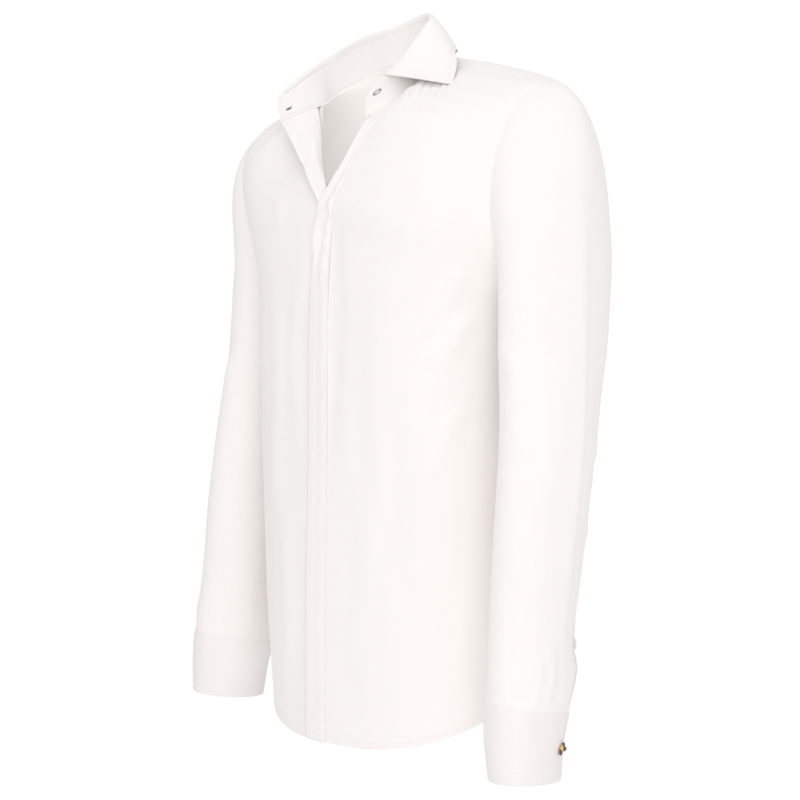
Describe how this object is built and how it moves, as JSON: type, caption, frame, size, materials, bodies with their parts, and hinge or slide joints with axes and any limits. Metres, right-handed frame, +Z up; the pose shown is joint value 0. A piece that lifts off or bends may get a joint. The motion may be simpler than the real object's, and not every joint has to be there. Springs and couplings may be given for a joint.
{
  "type": "long sleeve dress shirt",
  "caption": "White long sleeve dress shirt with spread collar, fly placket and link cuffs, in the shape it has when worn.",
  "frame": {"origin": "middle of the line between the two shoulder points, where the wearer holds the shirt up", "axes": "+Z up to the collar, -Y the way the wearer faces, +X to the wearer's left"},
  "size_m": [0.5748, 0.2517, 0.7839],
  "materials": {
    "shirting": "matt fine weave",
    "button": "glossy",
    "link_metal": "polished"
  },
  "bodies": {
    "root": {"front_left": "shirting", "front_right": "shirting", "placket": "shirting", "facing_right": "shirting", "back": "shirting", "yoke": "shirting", "sleeve_left": "shirting", "sleeve_right": "shirting", "cuff_left": "shirting", "cuff_right": "shirting", "gauntlet_left": "shirting", "gauntlet_right": "shirting", "collar_stand": "shirting", "collar_leaf": "shirting", "gauntlet_button_left": "button", "gauntlet_button_right": "button", "cufflink_left": "link_metal", "cufflink_right": "link_metal"}
  },
  "joints": []
}
